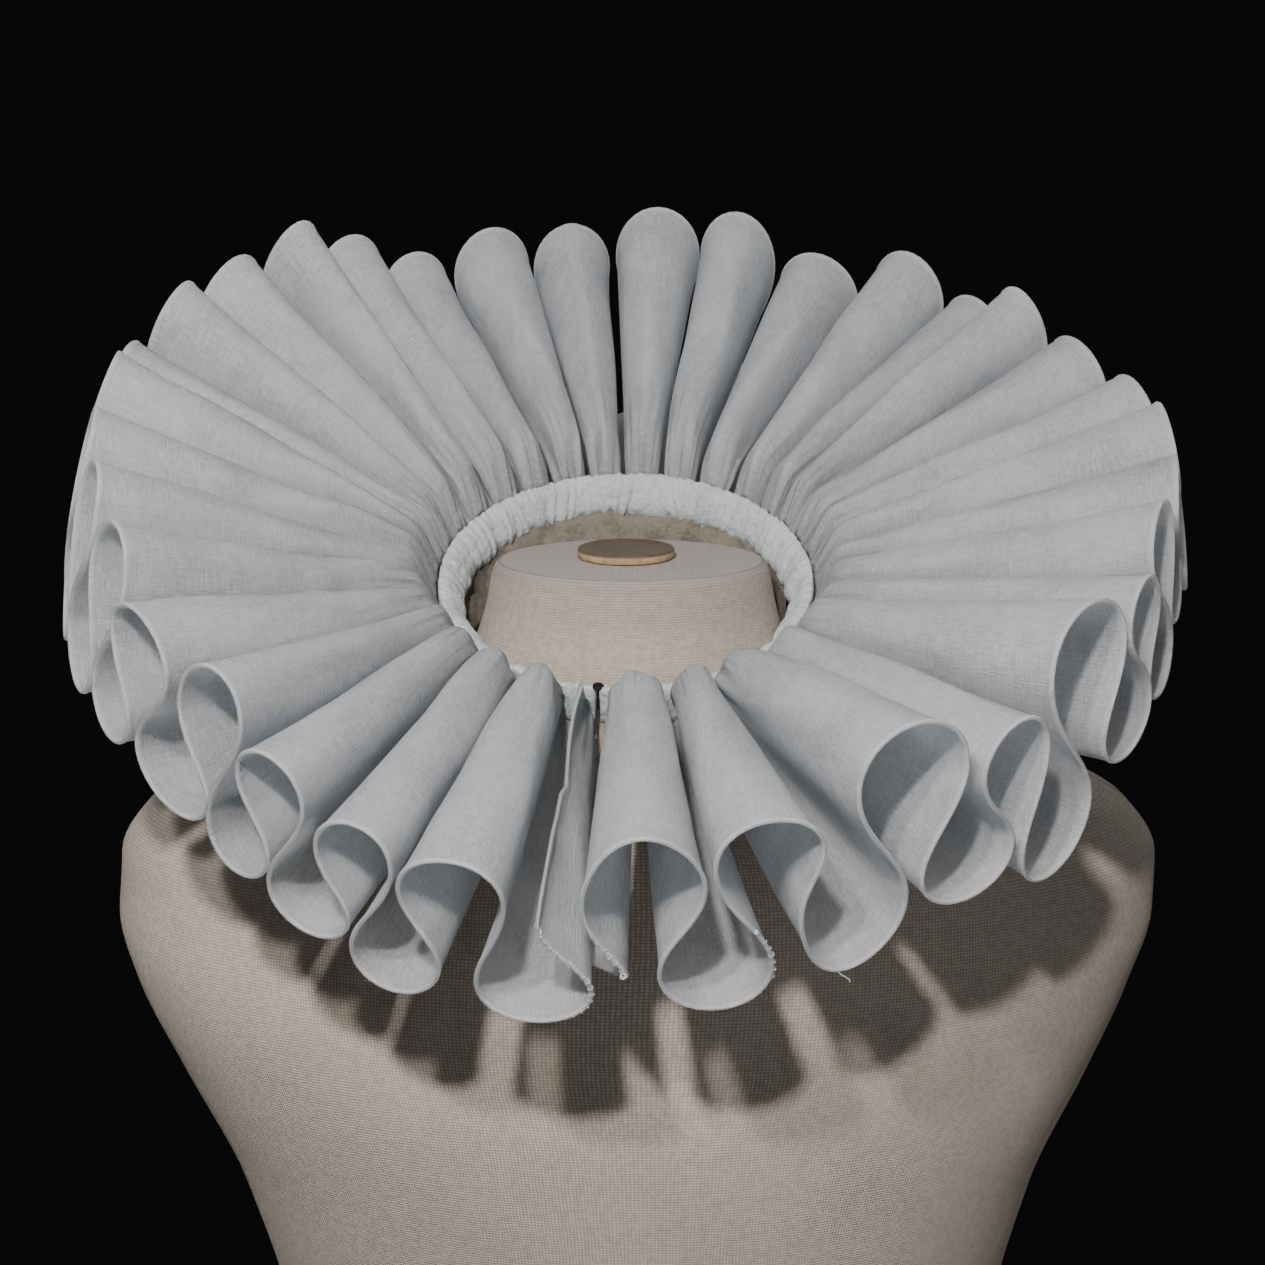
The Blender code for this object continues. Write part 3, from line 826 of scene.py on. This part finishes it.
def build_band(material):
    profile = np.array(BAND_PROFILE + BAND_PROFILE[:1])
    side = np.linspace(0, 1, BAND_SIDES_FINE + 1)[:-1]
    knots = np.linspace(0, 1, len(profile))
    radius = np.interp(side, knots, profile[:, 0])
    height = np.interp(side, knots, profile[:, 1])
    for _ in range(2):  # rounds the profile's corners
        radius = (np.roll(radius, 1) + 2 * radius + np.roll(radius, -1)) / 4
        height = (np.roll(height, 1) + 2 * height + np.roll(height, -1)) / 4
    start = azimuth(FIRST_FLUTE_START, 0.0) - BAND_END_REACH
    end = azimuth(STRIP_END, 0.0) + BAND_END_REACH
    angles = np.linspace(start, end, BAND_STEPS_FINE + 1)
    middle = np.array([radius.mean(), height.mean()])
    inner = smooth(0.0745, 0.0690, radius)  # 1 on the side towards the neck
    points = []
    for angle in angles:
        turn = math.degrees(angle)
        lengthwise = turn + 2.5 * (height / 0.008) * wander(turn / 9, 17)
        pucker = 0.55 * wander(lengthwise / 2.3, 11) + 0.45 * wander(lengthwise / 5.1, 12)
        pucker = (pucker + 0.55 * wander(lengthwise / 1.25, 13)) * PUCKER_DEPTH * (0.2 + inner)
        sag = wander(turn / 5.3, 14) + 0.6 * wander(turn / 2.0, 15)
        low = smooth(0.001, -0.007, height) * MM * sag
        low = low + smooth(0.004, 0.009, height) * MM * 0.7 * wander(turn / 0.8, 16)
        away = np.stack([radius, height], axis=-1) - middle
        away /= np.linalg.norm(away, axis=-1, keepdims=True)
        ring = np.stack([radius, height], axis=-1) + away * pucker[:, None]
        ring[:, 0] = np.minimum(ring[:, 0], BAND_RADIUS)
        ring[:, 1] += low
        out, up = ring.T
        points.append(np.stack([out * math.cos(angle), out * math.sin(angle), up], axis=-1))
    points = np.array(points)
    rows, sides = points.shape[:2]
    faces = grid_faces(rows, sides, closed=True)
    faces.append(tuple(range(sides - 1, -1, -1)))
    faces.append(tuple(range((rows - 1) * sides, rows * sides)))
    faces = [tuple(reversed(face)) for face in faces]
    return add_mesh("band", to_world(points.reshape(-1, 3)), faces, material)


# The band's facing hangs from its inner edge and lies in soft wrinkles round the back of the neck.
FACING_START_DEG, FACING_END_DEG = 18, 200
FACING_STEPS = 260
FACING_ROWS = 14
FACING_RADIUS, FACING_TOP = 0.0668, -0.0050  # its upper edge in the ring's frame
FACING_DROP = 0.024
FACING_CLEAR = 0.0030  # of the form's cover
FACING_THICKNESS = 0.0006


def build_facing(material):
    turns = np.linspace(FACING_START_DEG, FACING_END_DEG, FACING_STEPS + 1)
    rows = []
    for t in np.linspace(0, 1, FACING_ROWS):
        row = []
        for turn in turns:
            a = math.radians(turn)
            edge = (FACING_RADIUS * math.cos(a), FACING_RADIUS * math.sin(a), FACING_TOP)
            hung = to_world(np.array([edge]))[0]
            foot = hung[2] - FACING_DROP
            width, depth, aside, back, _ = (float(size[0]) for size in form_sizes(np.array([foot])))
            x = (width + FACING_CLEAR) * math.cos(a) + aside
            y = (depth + FACING_CLEAR) * math.sin(a) + back
            low = np.array([x, y, foot])
            p = hung + (low - hung) * t
            away = np.array([math.cos(a), math.sin(a), 0.0])
            wrinkle = 1.5 * wander(turn / 7 + 1.3 * t, 50) + 0.8 * wander(turn / 3.1 - 2.0 * t, 51)
            row.append(p + away * (wrinkle * smooth(0.0, 0.35, t) * (1 - 0.5 * t) + 1.0 * t) * MM)
        rows.append(row)
    inner = np.array(rows)
    outer = inner.copy()
    outward = inner[..., :2] / np.linalg.norm(inner[..., :2], axis=-1, keepdims=True)
    outer[..., :2] += outward * FACING_THICKNESS
    points = np.concatenate([inner.reshape(-1, 3), outer.reshape(-1, 3)])
    return add_mesh("facing", points, shell_faces(*inner.shape[:2]), material)


# ================================================================================================
# stitches, knots and a loose thread
# ================================================================================================
THREAD_RADIUS = 0.00014
LOOSE_THREAD_WAVE = 1.98
# Hem stitches that show: from one wave to another along the hem, how many, and their length in mm.
Run = namedtuple("Run", "wave to_wave count length")
RUNS = (
    Run(34.06, 34.34, 15, 1.5),
    Run(0.14, 0.24, 6, 1.3),
    Run(1.10, 1.20, 6, 1.4),
)
# Small knots: wave, place from band to hem, radius in mm.
Knot = namedtuple("Knot", "wave v radius")
KNOTS = (
    Knot(0.155, 1.0, 1.0),
    Knot(29.50, 0.44, 0.8),
    Knot(1.22, 1.0, 0.6),
    Knot(34.34, 0.99, 0.8),
)


def tube(path, radius, sides=6):
    """The points and faces of a closed round thread along a path."""
    path = np.asarray(path)
    ahead = np.gradient(path, axis=0)
    ahead /= np.linalg.norm(ahead, axis=1, keepdims=True)
    aside = np.cross(ahead, np.array([0.31, 0.22, 0.92]))
    aside /= np.linalg.norm(aside, axis=1, keepdims=True)
    over = np.cross(ahead, aside)
    turn = np.linspace(0, 2 * math.pi, sides + 1)[:-1]
    rings = [
        p + radius * (np.cos(turn)[:, None] * a + np.sin(turn)[:, None] * o)
        for p, a, o in zip(path, aside, over)
    ]
    faces = grid_faces(len(path), sides, closed=True)
    faces.append(tuple(range(sides - 1, -1, -1)))
    faces.append(tuple(range((len(path) - 1) * sides, len(path) * sides)))
    return np.concatenate(rings), faces


def cloth_frame(wave, v):
    """A point of the strip with its directions along the strip and out to the hem, and its normal."""
    d = 0.004
    at = strip_point(np.array([wave - d, wave, wave + d]), v)
    inner = strip_point(np.array([wave]), max(0.0, v - 0.01))[0]
    along = (at[2] - at[0]) / np.linalg.norm(at[2] - at[0])
    out = (at[1] - inner) / np.linalg.norm(at[1] - inner)
    normal = np.cross(along, out)
    return at[1], along, out, normal / np.linalg.norm(normal)


def build_stitches(material):
    """All sewing thread that shows, in one mesh."""
    points, faces = [], []

    def take(piece):
        start = sum(len(p) for p in points)
        points.append(piece[0])
        faces.extend(tuple(start + k for k in face) for face in piece[1])

    for r, run in enumerate(RUNS):
        for k in range(run.count):
            wave = run.wave + (run.to_wave - run.wave) * (k + 0.5) / run.count
            base, along, out, normal = cloth_frame(wave, 1.0)
            lean = 0.8 * wander(k * 1.7, 20 + r)
            long = run.length * (1 + 0.3 * wander(k * 2.3, 30 + r)) * MM
            way = out * math.cos(lean) + along * math.sin(lean)
            for side in (-1, 1):
                lift = normal * side * (0.82 + 0.1 * wander(k * 3.1, 40 + r)) * MM
                path = [base + lift * 0.6 - way * long * 0.95, base + lift - way * long * 0.5,
                        base + lift * 0.9 + way * long * 0.05, base + way * long * 0.16]
                take(tube(path, THREAD_RADIUS))
    for k, knot in enumerate(KNOTS):
        base, along, out, normal = cloth_frame(knot.wave, knot.v)
        coil = []
        for t in np.linspace(0, 1, 34):
            a, b = t * 6 * math.pi, t * 2 * math.pi
            size = knot.radius * MM * (0.75 + 0.25 * math.cos(b + k))
            coil.append(base + along * size * math.cos(a) + normal * size * math.sin(a)
                        + out * size * 0.9 * math.sin(b + 0.5 * a))
        take(tube(coil, 0.30 * knot.radius * MM))
    base, along, out, _ = cloth_frame(LOOSE_THREAD_WAVE, 1.0)
    loose = [
        base + out * (0.5 + 6 * t) * MM + along * 3 * math.sin(2.6 * t) * t * MM
        for t in np.linspace(0, 1, 8)
    ]
    take(tube(loose, THREAD_RADIUS))
    return add_mesh("stitches", to_world(np.concatenate(points)), faces, material)


# ================================================================================================
# the form and its disc
# ================================================================================================
FORM_SIDES_FINE = 176


def build_form(material):
    knots = SECTION_TABLE["z"]
    levels = np.concatenate([np.linspace(a, b, 7)[:-1] for a, b in zip(knots[:-1], knots[1:])])
    levels = np.append(levels, FORM_HEIGHT)
    rings, uv = [], []
    angle = np.linspace(0, 2 * math.pi, FORM_SIDES_FINE + 1)[:-1]
    c, s = np.cos(angle), np.sin(angle)
    for z in levels:
        width, depth, aside, back, power = form_sizes(z)
        x = width * np.sign(c) * np.abs(c) ** (2 / power) + aside
        y = depth * np.sign(s) * np.abs(s) ** (2 / power) + back
        rings.append(np.stack([x, y, np.full_like(x, z)], axis=-1))
        uv.append(np.stack([angle * 0.16, np.full_like(x, z)], axis=-1))
    top = rings[-1]
    centre = top.mean(axis=0)
    for share in (0.985, 0.93, 0.8, 0.6, 0.4, 0.2):  # the flat top, in rings towards its centre
        ring = centre + (top - centre) * share
        rings.append(ring)
        uv.append(ring[:, :2] + 0.3)
    points = np.concatenate(rings)
    faces = grid_faces(len(rings), FORM_SIDES_FINE, closed=True)
    last = (len(rings) - 1) * FORM_SIDES_FINE
    faces.append(tuple(range(last, last + FORM_SIDES_FINE)))
    faces.append(tuple(range(FORM_SIDES_FINE - 1, -1, -1)))
    return add_mesh("form_cover", points, faces, material, np.concatenate(uv))


def build_disc(material):
    bottom = FORM_HEIGHT + JOINT_GAP
    profile = (  # radius, height above the bottom
        (0.0189, 0.0),
        (DISC_RADIUS, 0.0006),
        (DISC_RADIUS, 0.0030),
        (0.0192, 0.0037),
        (0.0184, DISC_THICKNESS),
        (0.0172, 0.0038),
        (0.0160, 0.0034),
        (0.0120, 0.0033),
        (0.0060, 0.0033),
    )
    sides = 96
    rings = [
        [
            (
                DISC_CENTRE[0] + r * math.cos(2 * math.pi * k / sides),
                DISC_CENTRE[1] + r * math.sin(2 * math.pi * k / sides),
                bottom + z,
            )
            for k in range(sides)
        ]
        for r, z in profile
    ]
    faces = grid_faces(len(rings), sides, closed=True)
    last = (len(rings) - 1) * sides
    faces.append(tuple(range(last, last + sides)))
    faces.append(tuple(range(sides - 1, -1, -1)))
    return add_mesh("disc", [p for ring in rings for p in ring], faces, material)


# ================================================================================================
# light, floor and camera
# ================================================================================================
NECK, MIDDLE, FRONT_HEM = (0, 0, 0.58), (0, 0, 0.56), (0, -0.2, 0.53)
WARM_WHITE, COOL_WHITE = (1.0, 0.985, 0.965), (0.97, 0.985, 1.0)
# Each lamp is a disc: its direction in degrees and its distance from a point, and the point it faces.
Lamp = namedtuple("Lamp", "name azimuth elevation distance point facing size power colour")
LAMPS = (
    Lamp("key", -9, 42, 1.0, FRONT_HEM, FRONT_HEM, 0.06, 9.4, WARM_WHITE),
    Lamp("second_key", -22, 45, 1.0, FRONT_HEM, FRONT_HEM, 0.06, 5.2, WARM_WHITE),
    Lamp("front", 8, 12, 1.8, NECK, MIDDLE, 1.2, 1.9, (0.93, 0.965, 1.0)),
    Lamp("above", 0, 80, 2.0, NECK, MIDDLE, 1.4, 4.4, (0.96, 0.98, 1.0)),
    Lamp("left", -125, 25, 2.2, NECK, MIDDLE, 1.2, 9.0, (1.0, 1.0, 1.0)),
    Lamp("right", 75, 20, 2.2, NECK, MIDDLE, 1.2, 5.0, COOL_WHITE),
    Lamp("behind", 165, 30, 2.6, NECK, MIDDLE, 1.6, 16.0, COOL_WHITE),
    Lamp("below", 0, -25, 1.8, NECK, MIDDLE, 1.2, 0.15, (1.0, 0.80, 0.62)),
)
FLOOR_RADIUS, FLOOR_LEVEL = 0.42, -0.0005


def area_light(lamp):
    a, e = math.radians(lamp.azimuth), math.radians(lamp.elevation)
    way = Vector((math.sin(a) * math.cos(e), -math.cos(a) * math.cos(e), math.sin(e)))
    place = Vector(lamp.point) + way * lamp.distance
    light = bpy.data.lights.new(lamp.name, "AREA")
    light.shape = "DISK"
    light.size = lamp.size
    light.energy = lamp.power
    light.color = lamp.colour
    thing = bpy.data.objects.new(lamp.name, light)
    thing.location = place
    thing.rotation_euler = (Vector(lamp.facing) - place).to_track_quat("-Z", "Y").to_euler()
    thing.visible_camera = False
    bpy.context.scene.collection.objects.link(thing)


def build_studio():
    world = bpy.data.worlds.new("studio")
    bpy.context.scene.world = world
    world.use_nodes = True
    world.node_tree.nodes["Background"].inputs["Color"].default_value = (0.004, 0.004, 0.0045, 1)
    world.node_tree.nodes["Background"].inputs["Strength"].default_value = 1.0
    for lamp in LAMPS:
        area_light(lamp)
    n = Nodes("floor", 0.9)
    n.shader.inputs["Base Color"].default_value = (0.62, 0.62, 0.61, 1)
    angle = np.linspace(0, 2 * math.pi, 97)[:-1]
    x, y = FLOOR_RADIUS * np.cos(angle), FLOOR_RADIUS * np.sin(angle)
    ring = np.stack([x, y, np.full_like(angle, FLOOR_LEVEL)], axis=-1)
    floor = add_mesh("floor", ring, [tuple(range(96))], n.material)


def build_camera():
    data = bpy.data.cameras.new("camera")
    data.lens = CAMERA_LENS
    data.sensor_width = SENSOR
    camera = bpy.data.objects.new("camera", data)
    camera.location = CAMERA_PLACE
    camera.rotation_euler = (math.radians(90 - CAMERA_ELEVATION_DEG), 0, 0)
    bpy.context.scene.collection.objects.link(camera)
    bpy.context.scene.camera = camera


# ================================================================================================
# the whole scene
# ================================================================================================
build_camera()
build_studio()
linen = linen_material("linen")
right = build_cloth("cloth_right", FIRST_FLUTE_START, SEAM_FLUTE, True, False, linen)
left = build_cloth("cloth_left", SEAM_FLUTE, STRIP_END, False, True, linen)
seam_reach = SEAM_ALLOWANCE / WAVE_CUT
seam = build_cloth(
    "seam", SEAM_FLUTE - seam_reach, SEAM_FLUTE + seam_reach, False, False, linen, SEAM_THICKNESS
)
band = build_band(band_material())
facing = build_facing(facing_painted_shade_material())
form = build_form(cover_material())
disc = build_disc(wood_material())
stitches = build_stitches(plain_material("thread", (0.70, 0.72, 0.70), 0.8))
for piece in (stitches, seam):
    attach(piece, "root")
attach(facing, "root")
for piece, node in ((right, "ruff_right"), (left, "ruff_left"), (band, "neckband"),
                    (form, "dress_form"), (disc, "neck_disc")):
    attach(piece, "root")
    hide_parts(node)
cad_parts["pin"].data.materials.clear()
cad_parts["pin"].data.materials.append(plain_material("black_pin", (0.012, 0.012, 0.012), 0.35))
